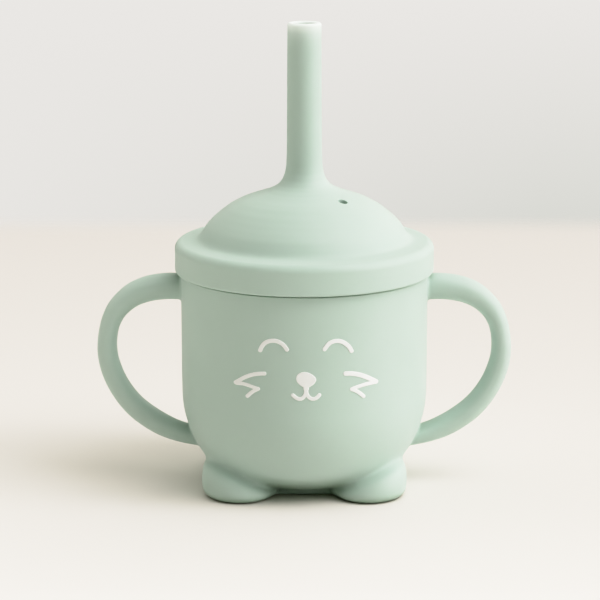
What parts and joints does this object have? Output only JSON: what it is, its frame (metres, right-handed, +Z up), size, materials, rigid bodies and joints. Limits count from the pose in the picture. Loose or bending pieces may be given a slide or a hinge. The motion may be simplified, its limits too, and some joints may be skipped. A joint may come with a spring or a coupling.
{
  "type": "sippy cup",
  "caption": "Soft silicone sippy cup with side handles, paw feet, a press-on domed lid with an air hole, a drinking straw, a dip tube and a printed cat face.",
  "frame": {"origin": "centre of the cup on the table plane, on the axis of the cup and straw", "axes": "+Z up along the cup and straw, the printed face looks along -Y, the handles lie along +X and -X"},
  "size_m": [0.135, 0.0838, 0.1508],
  "materials": {
    "mint_silicone": "matte food-grade silicone, pale sage mint, faint satin sheen",
    "white_print": "thin matte white silicone ink"
  },
  "bodies": {
    "cup": {"cup_body": "mint_silicone", "print_eye_left": "white_print", "print_eye_right": "white_print", "print_nose_mouth": "white_print", "print_whiskers_left": "white_print", "print_whiskers_right": "white_print"},
    "lid": {"lid": "mint_silicone"},
    "straw_top": {"upper_straw": "mint_silicone"},
    "straw_low": {"lower_straw": "mint_silicone"}
  },
  "joints": [
    {"name": "lid_lift", "type": "slide", "parent": "cup", "child": "lid", "axis": [0, 0, 1], "range_m": [0, 0.09]},
    {"name": "straw_flex", "type": "hinge", "parent": "lid", "child": "straw_top", "pos_m": [0, 0, 0.1021], "axis": [1, 0, 0], "range_deg": [-25, 25], "stiffness_Nm_per_rad": 0.06},
    {"name": "straw_pull", "type": "slide", "parent": "lid", "child": "straw_low", "axis": [0, 0, -1], "range_m": [0, 0.003]}
  ]
}
